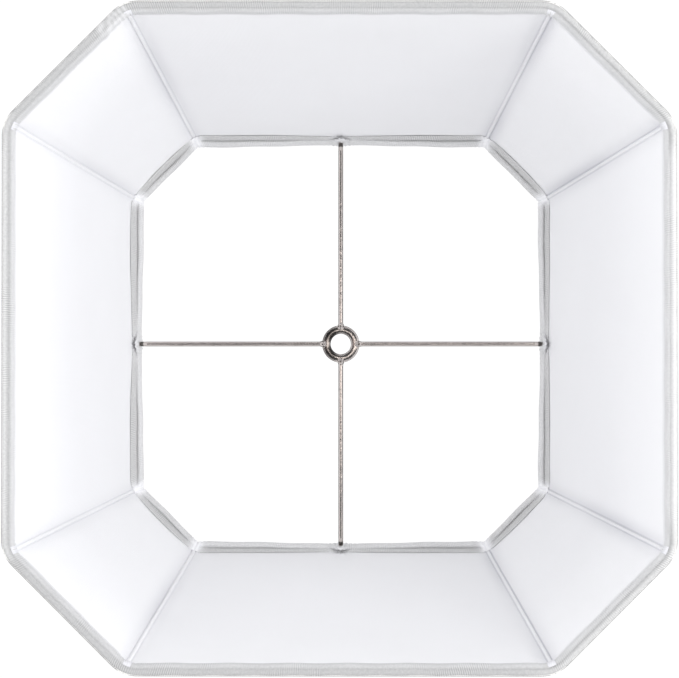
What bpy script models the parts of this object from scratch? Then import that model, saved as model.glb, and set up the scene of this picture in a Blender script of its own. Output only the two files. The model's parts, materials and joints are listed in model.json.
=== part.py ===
"""Cut-corner square soft lampshade with a spider fitter.

A welded wire frame of two rings and eight ribs is covered outside and lined inside with sewn
fabric panels, and each ring is bound with a folded tape. Four arms carry the fitter washer
just below the top ring. Metres, +Z up: the shade stands on its wide end at z = 0, centred on
the Z axis, with a main panel towards +X, +Y, -X and -Y and a narrow corner panel between them.
"""

import math

import bmesh
import bpy

# Shade
HEIGHT = 0.241
BOTTOM_OUTSIDE = 0.305  # across the flats, over the binding tape
TOP_RING_ACROSS = 0.2286  # across the flats, between wire centres
BOTTOM_CUT = 0.0531  # how far each square corner is cut back, along the side
TOP_CUT = 0.0336
BOTTOM_BEND = 0.015  # bend radius of the ring wire where two sides meet
TOP_BEND = 0.007

# Wire, cloth and the space between two layers
RING_WIRE_R = 0.0012
ARM_WIRE_R = 0.0013
CLOTH = 0.00035
GAP = 0.0003

# Binding tape
BOTTOM_LEG = 0.010
TOP_LEG = 0.014
FOLD = 0.0006  # corner rounding of the fold
ROLL_PROUD = 0.0031  # how far the rolled top edge stands in from its own leg
ROLL_HEIGHT = 0.0054

# Spider fitter
WASHER_HOLE_R = 0.00555
WASHER_R = 0.01015
WASHER_THICK = 0.002
WASHER_EDGE = 0.0004
DROP = 0.012  # washer centre below the top of the shade
ARM_SLOPE = math.radians(58)
ARM_BEND_R = 0.005
ARM_SLOT = 0.0035  # width of the slit that lets an arm through the lining and the tape

SIDES = 8
SIDE_ANGLE = math.tau / SIDES
HALF_SIDE = SIDE_ANGLE / 2
BEND_STEPS = 3  # segments in each half of a bend

# Layers, as horizontal distances outwards from the wire's centre
COVER_LAYER = (RING_WIRE_R + GAP, RING_WIRE_R + GAP + CLOTH)
LINING_LAYER = (-COVER_LAYER[1], -COVER_LAYER[0])
TAPE_IN = COVER_LAYER[1] + GAP
TAPE_OUT = TAPE_IN + CLOTH

BOTTOM_HALF = BOTTOM_OUTSIDE / 2 - TAPE_OUT
TOP_HALF = TOP_RING_ACROSS / 2
WALL_BOTTOM = CLOTH + GAP
WALL_TOP = HEIGHT - WALL_BOTTOM
BOTTOM_RING_Z = WALL_BOTTOM + RING_WIRE_R
TOP_RING_Z = WALL_TOP - RING_WIRE_R
RIB_CLEARANCE = RING_WIRE_R + 1.5 * GAP
ARM_Z = HEIGHT - DROP

# name: (colour, roughness, metallic)
FINISHES = {
    "cover_cloth": ((0.86, 0.86, 0.85, 1), 0.85, 0),
    "lining_cloth": ((0.92, 0.92, 0.94, 1), 0.7, 0),
    "binding_tape": ((0.70, 0.70, 0.70, 1), 0.75, 0),
    "frame_wire": ((0.62, 0.63, 0.64, 1), 0.4, 1),
    "nickel_plate": ((0.72, 0.70, 0.68, 1), 0.2, 1),
}


def clear_scene():
    for obj in list(bpy.data.objects):
        bpy.data.objects.remove(obj, do_unlink=True)


def make_finishes():
    made = {}
    for name, (colour, roughness, metallic) in FINISHES.items():
        material = bpy.data.materials.new(name)
        material.use_nodes = True
        shader = material.node_tree.nodes["Principled BSDF"]
        shader.inputs["Base Color"].default_value = colour
        shader.inputs["Roughness"].default_value = roughness
        shader.inputs["Metallic"].default_value = metallic
        made[name] = material
    return made


def between(bottom, top, z):
    """A size that changes evenly from the bottom of the shade to its top."""
    return bottom + (top - bottom) * z / HEIGHT


def bend_point(corner, turn, z, offset):
    """A point on the bend between side `corner` and the next one, where the wall faces `turn`."""
    half = between(BOTTOM_HALF, TOP_HALF, z) + offset
    cut = between(BOTTOM_CUT, TOP_CUT, z) + (2 - math.sqrt(2)) * offset
    bend = between(BOTTOM_BEND, TOP_BEND, z) + offset
    x, y = (half, half - cut) if corner % 2 == 0 else (half - cut, half)
    quarter = (corner // 2) * math.pi / 2
    middle = corner * SIDE_ANGLE + HALF_SIDE
    reach = bend / math.cos(HALF_SIDE)
    return (
        x * math.cos(quarter) - y * math.sin(quarter)
        - reach * math.cos(middle) + bend * math.cos(turn),
        x * math.sin(quarter) + y * math.cos(quarter)
        - reach * math.sin(middle) + bend * math.sin(turn),
        z,
    )


def ring_outline(z, offset):
    """The whole outline of the shade at height z: eight bends joined by straight sides."""
    steps = 2 * BEND_STEPS
    return [
        bend_point(corner, (corner + step / steps) * SIDE_ANGLE, z, offset)
        for corner in range(SIDES)
        for step in range(steps + 1)
    ]


def side_outline(side, z, offset):
    """One side's outline, from the middle of one bend to the middle of the next, less the seam."""
    bend = between(BOTTOM_BEND, TOP_BEND, z) + offset
    reach = HALF_SIDE - GAP / 2 / bend
    facing = side * SIDE_ANGLE
    first = [
        bend_point((side - 1) % SIDES, facing - reach * (1 - step / BEND_STEPS), z, offset)
        for step in range(BEND_STEPS + 1)
    ]
    second = [
        bend_point(side, facing + reach * step / BEND_STEPS, z, offset)
        for step in range(BEND_STEPS + 1)
    ]
    return first + second


def rib_point(corner, z):
    return bend_point(corner, corner * SIDE_ANGLE + HALF_SIDE, z, 0)


def add_object(name, data, finish, parent, smooth=True):
    obj = bpy.data.objects.new(name, data)
    obj.parent = parent
    bpy.context.scene.collection.objects.link(obj)
    if finish:
        data.materials.append(finish)
    if smooth and obj.type == "MESH":
        data.shade_smooth()
        data.set_sharp_from_angle(angle=math.radians(35))
    return obj


def loft(name, loops, closed_round=False):
    """A solid through loops of equal length: capped at its ends, or joined last to first."""
    mesh = bmesh.new()
    rows = [[mesh.verts.new(point) for point in loop] for loop in loops]
    pairs = list(zip(rows, rows[1:]))
    if closed_round:
        pairs.append((rows[-1], rows[0]))
    else:
        mesh.faces.new(rows[0])
        mesh.faces.new(rows[-1])
    count = len(rows[0])
    for low, high in pairs:
        for i in range(count):
            j = (i + 1) % count
            mesh.faces.new((low[i], low[j], high[j], high[i]))
    bmesh.ops.recalc_face_normals(mesh, faces=mesh.faces)
    data = bpy.data.meshes.new(name)
    mesh.to_mesh(data)
    mesh.free()
    return data


def wire(name, points, radius, finish, parent, ring=False, resolution=2):
    """A round wire along points, with flat ends, or closed into a ring."""
    curve = bpy.data.curves.new(name, "CURVE")
    curve.dimensions = "3D"
    curve.bevel_depth = radius
    curve.bevel_resolution = resolution
    curve.use_fill_caps = True
    spline = curve.splines.new("POLY")
    spline.points.add(len(points) - 1)
    for spot, point in zip(spline.points, points):
        spot.co = (*point, 1)
    spline.use_cyclic_u = ring
    spline.use_smooth = True
    return add_object(name, curve, finish, parent)


def cloth_panel(name, side, layer, finish, parent):
    """One flat panel of cloth between two ribs, as thick as its layer."""
    loops = [
        side_outline(side, z, layer[0]) + side_outline(side, z, layer[1])[::-1]
        for z in (WALL_BOTTOM, WALL_TOP)
    ]
    return add_object(name, loft(name, loops), finish, parent)


def tape(name, profile, finish, parent):
    """A binding tape: its folded profile of (offset, height) carried round the whole ring."""
    loops = [ring_outline(z, offset) for offset, z in profile]
    return add_object(name, loft(name, loops, closed_round=True), finish, parent)


def bottom_profile():
    """A plain channel whose web lies under the wall."""
    return [
        (TAPE_OUT, BOTTOM_LEG),
        (TAPE_OUT, FOLD),
        (TAPE_OUT - FOLD, 0),
        (FOLD - TAPE_OUT, 0),
        (-TAPE_OUT, FOLD),
        (-TAPE_OUT, BOTTOM_LEG),
        (-TAPE_IN, BOTTOM_LEG),
        (-TAPE_IN, CLOTH),
        (TAPE_IN, CLOTH),
        (TAPE_IN, BOTTOM_LEG),
    ]


def top_profile():
    """A channel over the wall whose inner edge is rolled into a half-round bead."""
    bead = []
    steps = 4
    for step in range(steps + 1):
        turn = math.pi * step / steps
        offset = -TAPE_OUT - ROLL_PROUD * math.sin(turn)
        bead.append((offset, HEIGHT - ROLL_HEIGHT / 2 + ROLL_HEIGHT / 2 * math.cos(turn)))
    return [
        (TAPE_OUT, HEIGHT - TOP_LEG),
        (TAPE_OUT, HEIGHT - FOLD),
        (TAPE_OUT - FOLD, HEIGHT),
        *bead,
        (-TAPE_OUT, HEIGHT - TOP_LEG),
        (-TAPE_IN, HEIGHT - TOP_LEG),
        (-TAPE_IN, HEIGHT - CLOTH),
        (TAPE_IN, HEIGHT - CLOTH),
        (TAPE_IN, HEIGHT - TOP_LEG),
    ]


def turned_to(side, along, across, z):
    """A point `along` the direction that a main side faces, and `across` it."""
    angle = side * SIDE_ANGLE
    return (
        along * math.cos(angle) - across * math.sin(angle),
        along * math.sin(angle) + across * math.cos(angle),
        z,
    )


def arm_points(side):
    """From the washer's rim level outwards, round one bend, then up to the top ring wire."""
    ring_half = between(BOTTOM_HALF, TOP_HALF, TOP_RING_Z)
    end_gap = RING_WIRE_R + GAP
    end = (ring_half - end_gap * math.cos(ARM_SLOPE), TOP_RING_Z - end_gap * math.sin(ARM_SLOPE))
    rise = end[1] - ARM_Z - ARM_BEND_R * (1 - math.cos(ARM_SLOPE))
    bend_start = end[0] - rise / math.tan(ARM_SLOPE) - ARM_BEND_R * math.sin(ARM_SLOPE)
    path = [(WASHER_R + GAP, ARM_Z)]
    steps = 6
    for step in range(steps + 1):
        turn = ARM_SLOPE * step / steps
        path.append(
            (bend_start + ARM_BEND_R * math.sin(turn), ARM_Z + ARM_BEND_R * (1 - math.cos(turn)))
        )
    path.append(end)
    return [turned_to(side, along, 0, z) for along, z in path]


def slot_cutter(name, offsets, heights, parent):
    """Four boxes that slit a layer where the arms pass; offsets are measured at the top ring."""
    ring_half = between(BOTTOM_HALF, TOP_HALF, TOP_RING_Z)
    mesh = bmesh.new()
    for side in range(0, SIDES, 2):
        corners = [
            mesh.verts.new(turned_to(side, ring_half + offset, across, z))
            for z in heights
            for offset, across in (
                (offsets[0], -ARM_SLOT / 2),
                (offsets[1], -ARM_SLOT / 2),
                (offsets[1], ARM_SLOT / 2),
                (offsets[0], ARM_SLOT / 2),
            )
        ]
        low, high = corners[:4], corners[4:]
        mesh.faces.new(low[::-1])
        mesh.faces.new(high)
        for i in range(4):
            j = (i + 1) % 4
            mesh.faces.new((low[i], low[j], high[j], high[i]))
    bmesh.ops.recalc_face_normals(mesh, faces=mesh.faces)
    data = bpy.data.meshes.new(name)
    mesh.to_mesh(data)
    mesh.free()
    cutter = add_object(name, data, None, parent, smooth=False)
    cutter.hide_render = True
    cutter.display_type = "WIRE"
    return cutter


def cut(obj, cutter):
    modifier = obj.modifiers.new("arm slots", "BOOLEAN")
    modifier.operation = "DIFFERENCE"
    modifier.solver = "EXACT"
    modifier.object = cutter


def washer(name, finish, parent):
    """The fitter washer: a turned ring with broken edges and flat faces above and below."""
    half, edge = WASHER_THICK / 2, WASHER_EDGE
    profile = [
        (WASHER_HOLE_R, edge - half),
        (WASHER_HOLE_R + edge, -half),
        (WASHER_R - edge, -half),
        (WASHER_R, edge - half),
        (WASHER_R, half - edge),
        (WASHER_R - edge, half),
        (WASHER_HOLE_R + edge, half),
        (WASHER_HOLE_R, half - edge),
    ]
    segments = 40
    loops = [
        [
            (
                radius * math.cos(math.tau * i / segments),
                radius * math.sin(math.tau * i / segments),
                ARM_Z + height,
            )
            for i in range(segments)
        ]
        for radius, height in profile
    ]
    return add_object(name, loft(name, loops, closed_round=True), finish, parent)


def main():
    clear_scene()
    finishes = make_finishes()
    shade = bpy.data.objects.new("lampshade", None)
    bpy.context.scene.collection.objects.link(shade)

    steel = finishes["frame_wire"]
    wire("bottom_ring_wire", ring_outline(BOTTOM_RING_Z, 0), RING_WIRE_R, steel, shade, ring=True)
    wire("top_ring_wire", ring_outline(TOP_RING_Z, 0), RING_WIRE_R, steel, shade, ring=True)
    for corner in range(SIDES):
        foot = rib_point(corner, BOTTOM_RING_Z + RIB_CLEARANCE)
        head = rib_point(corner, TOP_RING_Z - RIB_CLEARANCE)
        wire(f"rib_wire_{corner + 1}", [foot, head], RING_WIRE_R, steel, shade)

    nickel = finishes["nickel_plate"]
    washer("spider_washer", nickel, shade)
    for arm in range(4):
        name = f"spider_arm_{arm + 1}"
        wire(name, arm_points(2 * arm), ARM_WIRE_R, nickel, shade, resolution=4)

    lining_cutter = slot_cutter(
        "lining_slot_cutter", (-0.004, -0.0008), (TOP_RING_Z - 0.0085, HEIGHT + 0.001), shade
    )
    tape_cutter = slot_cutter(
        "tape_slot_cutter",
        (-0.009, -0.0012),
        (HEIGHT - TOP_LEG - 0.001, TOP_RING_Z - 0.0006),
        shade,
    )
    for side in range(SIDES):
        kind, number = ("main", side // 2 + 1) if side % 2 == 0 else ("corner", side // 2 + 1)
        cover = f"cover_{kind}_panel_{number}"
        lining = f"lining_{kind}_panel_{number}"
        cloth_panel(cover, side, COVER_LAYER, finishes["cover_cloth"], shade)
        inner = cloth_panel(lining, side, LINING_LAYER, finishes["lining_cloth"], shade)
        if kind == "main":
            cut(inner, lining_cutter)

    tape("bottom_binding_tape", bottom_profile(), finishes["binding_tape"], shade)
    cut(tape("top_binding_tape", top_profile(), finishes["binding_tape"], shade), tape_cutter)


main()
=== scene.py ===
"""Cut-corner square soft lampshade: its cloth, rolled bindings, nickel spider and studio.

Everything is worked out around the CAD frame: metres, +Z up, wide end at z = 0, centred on the
Z axis. A place on the shade's wall is named by its side (0 faces +X, then every 45 degrees), its
share of that side from the middle of one bend (-1) to the middle of the next (+1), its height and
how far out it lies, horizontally, from the line of the wires.
"""

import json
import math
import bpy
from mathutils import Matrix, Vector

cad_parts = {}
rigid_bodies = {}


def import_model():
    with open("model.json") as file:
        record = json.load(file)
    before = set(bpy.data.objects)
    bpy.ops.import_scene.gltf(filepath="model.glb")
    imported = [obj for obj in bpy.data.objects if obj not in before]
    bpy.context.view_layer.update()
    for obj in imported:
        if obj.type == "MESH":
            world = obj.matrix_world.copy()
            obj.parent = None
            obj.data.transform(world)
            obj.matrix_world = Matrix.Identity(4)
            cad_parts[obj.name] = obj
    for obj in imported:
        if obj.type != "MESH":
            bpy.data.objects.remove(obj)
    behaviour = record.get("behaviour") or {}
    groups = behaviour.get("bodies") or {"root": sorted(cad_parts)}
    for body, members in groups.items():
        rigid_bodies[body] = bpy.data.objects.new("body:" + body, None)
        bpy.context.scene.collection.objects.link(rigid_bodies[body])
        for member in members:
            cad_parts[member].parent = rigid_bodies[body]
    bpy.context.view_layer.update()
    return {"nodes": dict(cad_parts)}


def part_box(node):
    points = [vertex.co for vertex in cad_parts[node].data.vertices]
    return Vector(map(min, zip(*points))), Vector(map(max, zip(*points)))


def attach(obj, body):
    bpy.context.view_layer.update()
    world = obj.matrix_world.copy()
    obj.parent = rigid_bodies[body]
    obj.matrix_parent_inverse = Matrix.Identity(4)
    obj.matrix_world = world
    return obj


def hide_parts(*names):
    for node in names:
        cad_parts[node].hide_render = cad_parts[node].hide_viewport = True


bl_info = {
    "name": "Soft Lampshade",
    "version": (1, 0, 0),
    "blender": (4, 5, 0),
    "location": "View3D > Sidebar > Lampshade",
    "description": "Builds a cut-corner square soft lampshade with a spider fitter",
    "category": "Add Mesh",
}

import bpy
import numpy as np
from mathutils import Matrix, Vector

for leftover in list(bpy.data.objects):
    bpy.data.objects.remove(leftover, do_unlink=True)
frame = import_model()

MM = 0.001
SIDES = 8
TURN = math.tau / SIDES
ROOT_2 = math.sqrt(2)

# Read from the frame: the wires, the wall's slope and the layers of cloth
LOW_RING, HIGH_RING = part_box("bottom_ring_wire"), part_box("top_ring_wire")
WIRE_R = (LOW_RING[1].z - LOW_RING[0].z) / 2
LOW_Z, HIGH_Z = (LOW_RING[0].z + LOW_RING[1].z) / 2, (HIGH_RING[0].z + HIGH_RING[1].z) / 2
LOW_HALF, HIGH_HALF = LOW_RING[1].x - WIRE_R, HIGH_RING[1].x - WIRE_R
TOP_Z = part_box("top_binding_tape")[1].z
WALL_LOW, WALL_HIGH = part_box("cover_main_panel_1")[0].z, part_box("cover_main_panel_1")[1].z
WASHER_LOW, WASHER_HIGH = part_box("spider_washer")
ARM_R = (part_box("spider_arm_1")[1].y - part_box("spider_arm_1")[0].y) / 2

# The washer's hole drops over a lamp harp's 7/16 inch stud
HOLE_R = 5.55 * MM

# Heights of the stitches that hold the lining to the top and the bottom binding
HIGH_STITCH, LOW_STITCH = TOP_Z - 9 * MM, LOW_Z + 5 * MM


def linear(code):
    """An sRGB hex colour as linear red, green and blue."""
    values = np.array([int(code[i : i + 2], 16) for i in (1, 3, 5)]) / 255
    return tuple(np.where(values <= 0.04045, values / 12.92, ((values + 0.055) / 1.055) ** 2.4))


def colour(name, description, code):
    """A colour that a user can change, from its sRGB hex value."""
    return bpy.props.FloatVectorProperty(
        name=name, description=description, subtype="COLOR", size=3, min=0, max=1,
        default=linear(code),
    )


def length(name, description, default):
    """A size that a user can change, in metres."""
    return bpy.props.FloatProperty(
        name=name, description=description, default=default, min=0, unit="LENGTH", precision=5
    )


class ShadeSizes(bpy.types.PropertyGroup):
    """Sizes of the shade's outline and of its cloth"""

    low_cut: length("Bottom cut", "How far each square corner is cut back at the bottom", 53.1 * MM)
    high_cut: length("Top cut", "How far each square corner is cut back at the top", 33.6 * MM)
    low_bend: length("Bottom bend", "Bend radius of the bottom ring wire", 15 * MM)
    high_bend: length("Top bend", "Bend radius of the top ring wire", 7 * MM)
    layer_gap: length("Layer gap", "Room between the wire and the cloth on it", 0.3 * MM)
    cloth: length("Cloth", "Thickness of one layer of cloth", 0.35 * MM)
    tape: length("Tape", "Thickness of the binding tape", 0.3 * MM)
    seam_height: length("Seam height", "How far the pipe over a rib seam stands proud", 0.38 * MM)
    seam_width: length("Seam width", "Width of the pipe over a rib seam", 1.9 * MM)
    pucker: length("Pucker", "Height of the small folds round a stitched corner", 0.55 * MM)


class ShadeColours(bpy.types.PropertyGroup):
    """Colours of the cloths, the metals and the studio floor"""

    lining: colour("Lining", "Acetate lining", "#f8f8fa")
    # Painted shade: the grey painted along the ribs and in the seam grooves, for the rib wire's
    # shadow through the thin cloth
    backed: colour("Backed lining", "Lining where something stands behind it", "#c6c6cd")
    cover: colour("Cover", "Outer shade cloth", "#f2f1ee")
    tape: colour("Binding", "Ribs of the binding tape", "#e3e3e2")
    tape_groove: colour("Binding groove", "Between the ribs of the binding tape", "#bababb")
    # Painted shade: the grey the tape is multiplied by on its legs, in its crease and on shaded
    # sides
    tape_leg: colour("Binding leg", "How much greyer the tape's flat leg is", "#dadadb")
    nickel: colour("Nickel", "Nickel plate", "#ece5df")
    nickel_dark: colour("Nickel lines", "Die lines in the nickel plate", "#b3aaa6")
    # Also the painted dark reflection on the arms' steep part and the washer's +X side
    stain_and_reflection: colour("Nickel stain", "Burnt plate by the welds and bends", "#3d3a38")
    wire: colour("Wire", "Zinc-plated frame wire", "#9da0a3")
    floor: colour("Floor", "Studio floor", "#f2f2f2")


# ---------------------------------------------------------------- shapes as arrays


def smooth(x):
    """0 below 0, 1 above 1, and an even S between."""
    x = np.clip(x, 0, 1)
    return x * x * (3 - 2 * x)


def bell(x, width):
    """1 at x = 0, falling off as a bell curve of that width."""
    return np.exp(-((x / width) ** 2))


def between(low, high, z):
    """A size that changes evenly with height, from `low` at z = 0 to `high` at the shade's top."""
    return low + (high - low) * z / TOP_Z


def side_shape(side, z, out, sizes):
    """Distance from the axis, half length of the straight, and bend radius, of one side's
    outline. A main side lies `half` from the axis and is cut back at both ends, and a corner side
    is the diagonal across two cuts. All three change as `out` moves the outline parallel."""
    half = LOW_HALF + (HIGH_HALF - LOW_HALF) * (z - LOW_Z) / (HIGH_Z - LOW_Z) + out
    cut = between(sizes.low_cut, sizes.high_cut, z) + (2 - ROOT_2) * out
    bend = between(sizes.low_bend, sizes.high_bend, z) + out
    main = side % 2 == 0
    face = np.where(main, half, (2 * half - cut) / ROOT_2)
    straight = np.where(main, half - cut, cut / ROOT_2) - bend * math.tan(TURN / 2)
    return face, straight, bend


def reach(side, z, out, sizes):
    """Distance along the cloth from a side's middle to the middle of its bend."""
    _, straight, bend = side_shape(side, z, out, sizes)
    return straight + bend * TURN / 2


def wall(side, share, z, out, sizes):
    """Points of the wall: along one side from its middle, a straight run and then an arc of the
    bend radius for half the turn, swung round the axis to that side's direction."""
    face, straight, bend = side_shape(side, z, out, sizes)
    along = share * (straight + bend * TURN / 2)
    turned = np.maximum(np.abs(along) - straight, 0) / bend
    run = np.sign(along) * (np.minimum(np.abs(along), straight) + bend * np.sin(turned))
    depth = face - bend * (1 - np.cos(turned))
    cos, sin = np.cos(side * TURN), np.sin(side * TURN)
    return np.stack(np.broadcast_arrays(cos * depth - sin * run, sin * depth + cos * run, z), -1)


def curve_through(points, steps):
    """A Catmull-Rom curve through a few points, with that many steps between each two."""
    points = np.asarray(points, float)
    padded = np.concatenate([2 * points[:1] - points[1:2], points, 2 * points[-1:] - points[-2:-1]])
    t = np.linspace(0, 1, steps, endpoint=False)[None, :, None]
    a, b, c, d = (padded[i : len(points) - 1 + i, None] for i in range(4))
    line = b + 0.5 * t * (c - a + t * (2 * a - 5 * b + 4 * c - d + t * (3 * (b - c) + d - a)))
    return np.concatenate([line.reshape(-1, points.shape[1]), points[-1:]])


def crowded(fine, coarse, growth, span):
    """Distances from 0 to span whose steps grow from fine to coarse, stretched to end on span."""
    steps = [fine]
    while sum(steps) < span:
        steps.append(min(steps[-1] * growth, coarse))
    places = np.concatenate([[0], np.cumsum(steps)])
    return places * span / places[-1]


def shares(span, middle_too):
    """Shares from -1 to 1 of a side, crowded at its bends and, for an arm, at its middle."""
    fine, coarse, growth = 0.25 * MM, 3 * MM, 1.12
    if middle_too:
        half = crowded(fine, coarse, growth, span / 2) / span
        half = np.concatenate([half, 1 - half[-2::-1]])
    else:
        half = 1 - crowded(fine, coarse, growth, span)[::-1] / span
    return np.concatenate([-half[:0:-1], half])


def quads(rows, columns, close_rows=False, close_columns=False):
    """The four (row, column) corners of each face of a grid, before any wrapping round."""
    i, j = np.meshgrid(
        np.arange(rows if close_rows else rows - 1),
        np.arange(columns if close_columns else columns - 1),
        indexing="ij",
    )
    corners = [(i, j), (i + 1, j), (i + 1, j + 1), (i, j + 1)]
    return np.stack([np.stack(corner, -1) for corner in corners], -2).reshape(-1, 4, 2)


def volume(points, faces):
    """Signed volume inside a closed mesh of quads."""
    a, b, c, d = (points[faces[:, i]] for i in range(4))
    return float((a * (np.cross(b, c) + np.cross(c, d))).sum() / 6)


def add_piece(name, points, faces, uv, material, slot, sharp=40, attributes=()):
    """A closed mesh of quads facing out, with a UV in metres at each corner, riding on the root."""
    points = points.reshape(-1, 3)
    if volume(points, faces) < 0:
        faces, uv = faces[:, ::-1], uv[:, ::-1]
    mesh = bpy.data.meshes.new(name)
    mesh.from_pydata(points.tolist(), [], faces.tolist())
    mesh.uv_layers.new(name="cloth").data.foreach_set("uv", uv.astype(np.float32).ravel())
    for label, values in dict(attributes).items():
        layer = mesh.attributes.new(label, "FLOAT", "POINT")
        layer.data.foreach_set("value", values.astype(np.float32).ravel())
    mesh.materials.append(material)
    mesh.shade_smooth()
    mesh.set_sharp_from_angle(angle=math.radians(sharp))
    piece = bpy.data.objects.new(name, mesh)
    bpy.context.scene.collection.objects.link(piece)
    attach(piece, "root")
    return piece


def add_grid(name, points, uv, material, slot, close_rows=False, **more):
    """A piece from a grid of points closed round its columns, and round its rows or capped flat."""
    rows, columns = points.shape[:2]
    corners = quads(rows, columns, close_rows, close_columns=True)
    faces = (corners[..., 0] % rows) * columns + corners[..., 1] % columns
    face_uv = uv[corners[..., 0], corners[..., 1]]
    if not close_rows:
        j = np.arange(columns // 2 - 1)
        strip = np.stack([j, j + 1, columns - 2 - j, columns - 1 - j], -1)
        ends = [strip[:, ::-1], strip + (rows - 1) * columns]
        faces = np.concatenate([faces, *ends])
        face_uv = np.concatenate([face_uv, uv[0][strip[:, ::-1]], uv[-1][strip]])
    return add_piece(name, points, faces, face_uv, material, slot, **more)


def add_slab(name, front, back, uv, material, slot, **more):
    """A thin solid between two grids of points of the same size, closed at all four edges."""
    points = np.concatenate([front, back[:, ::-1]], 1)
    around = np.concatenate([uv, uv[:, ::-1], uv[:, :1]], 1)
    return add_grid(name, points, around, material, slot, **more)


# ---------------------------------------------------------------- materials


def add_node(tree, kind, inputs=(), out=0, **settings):
    """Adds one shader node and gives back its output socket. Each input, by name or number, gets
    a value or the socket that feeds it. A Mix node's factor is input 0; its numbers are inputs 2
    and 3 with output 0, and its colours are inputs 6 and 7 with output 2."""
    node = tree.nodes.new(kind)
    for key, value in settings.items():
        setattr(node, key, value)
    for key, value in dict(inputs).items():
        if isinstance(value, bpy.types.NodeSocket):
            tree.links.new(value, node.inputs[key])
        else:
            node.inputs[key].default_value = value
    return node.outputs[out]


def new_finish(name, **numbers):
    """A material with one Principled shader, and its tree and shader. Numbers that are the same
    all over are set on the shader itself."""
    material = bpy.data.materials.new(name)
    material.use_nodes = True
    shader = material.node_tree.nodes["Principled BSDF"]
    for key, value in numbers.items():
        shader.inputs[key.replace("_", " ")].default_value = value
    return material, material.node_tree, shader


def tone(base, share):
    """A colour made darker by a share, with its alpha."""
    return (*(share * part for part in base), 1)


def threads(tree, spacing, direction, twist=0.0):
    """Parallel threads, `spacing` metres apart across U (X) or V (Y) of the cloth, as 0 to 1, more
    or less twisted. A wave texture of scale 1 repeats every 2 pi / 20."""
    place = add_node(tree, "ShaderNodeUVMap", uv_map="cloth")
    return add_node(
        tree, "ShaderNodeTexWave",
        {"Vector": place, "Scale": math.tau / 20 / spacing, "Distortion": twist},
        "Fac", wave_type="BANDS", bands_direction=direction,
    )


def acetate_lining(colours):
    """Acetate satin lining: filament woven, so a smooth silky white with hardly any weave, with
    shade painted in: greyer along each rib for the shadow of the wire and seam allowances
    through the thin cloth, and darker in the groove beside each seam."""
    material, tree, shader = new_finish(
        "acetate_lining", Roughness=0.55, Sheen_Weight=0.12, Sheen_Roughness=0.4
    )
    base = tuple(colours.lining)
    place = add_node(tree, "ShaderNodeTexCoord", out="Object")
    clouds = add_node(tree, "ShaderNodeTexNoise", {"Vector": place, "Scale": 1 / (45 * MM)})
    cloth = add_node(
        tree, "ShaderNodeMix", {0: clouds, 6: tone(base, 0.97), 7: tone(base, 1)}, 2,
        data_type="RGBA",
    )
    # Painted shade: how far the lining is greyed along the ribs and in the seam grooves
    painted_shade = add_node(tree, "ShaderNodeAttribute", out="Fac", attribute_name="painted_shade")
    backed = add_node(
        tree, "ShaderNodeMix", {0: painted_shade, 6: cloth, 7: tone(colours.backed, 1)}, 2,
        data_type="RGBA",
    )
    tree.links.new(backed, shader.inputs["Base Color"])
    # Real filaments lie 0.15 mm apart, too fine to show, so they are drawn 0.6 mm apart.
    weave = add_node(
        tree, "ShaderNodeMath",
        {0: threads(tree, 0.6 * MM, "X"), 1: threads(tree, 0.6 * MM, "Y")}, operation="ADD",
    )
    drawn = add_node(tree, "ShaderNodeMapping", {"Vector": place, "Scale": (1, 1, 0.12)})
    slubs = add_node(tree, "ShaderNodeTexNoise", {"Vector": drawn, "Scale": 1 / (6 * MM)})
    height = add_node(
        tree, "ShaderNodeMath", {0: slubs, 1: 1.6, 2: weave}, operation="MULTIPLY_ADD"
    )
    relief = add_node(
        tree, "ShaderNodeBump", {"Height": height, "Strength": 1.0, "Distance": 0.025 * MM}
    )
    tree.links.new(relief, shader.inputs["Normal"])
    return material


def cotton_shade_cloth(colours):
    """Cotton-blend shade cloth, plain woven: matt white with a visible cross weave and slubs,
    darker in the holes of the weave."""
    material, tree, shader = new_finish(
        "cotton_shade_cloth", Roughness=0.88, Sheen_Weight=0.25, Sheen_Roughness=0.6
    )
    base = tuple(colours.cover)
    # Real threads lie 0.35 mm apart, too fine to show, so they are drawn 0.7 mm apart.
    weave = add_node(
        tree, "ShaderNodeMath",
        {0: threads(tree, 0.7 * MM, "X"), 1: threads(tree, 0.7 * MM, "Y")}, operation="MAXIMUM",
    )
    place = add_node(tree, "ShaderNodeTexCoord", out="Object")
    drawn = add_node(tree, "ShaderNodeMapping", {"Vector": place, "Scale": (1, 1, 0.15)})
    slubs = add_node(
        tree, "ShaderNodeTexNoise", {"Vector": drawn, "Scale": 1 / (5 * MM), "Detail": 3.0}
    )
    grain = add_node(tree, "ShaderNodeMath", {0: weave, 1: slubs}, operation="MULTIPLY")
    cloth = add_node(
        tree, "ShaderNodeMix", {0: grain, 6: tone(base, 0.85), 7: tone(base, 1)}, 2,
        data_type="RGBA",
    )
    tree.links.new(cloth, shader.inputs["Base Color"])
    relief = add_node(
        tree, "ShaderNodeBump", {"Height": grain, "Strength": 1.0, "Distance": 0.2 * MM}
    )
    tree.links.new(relief, shader.inputs["Normal"])
    return material


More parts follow.
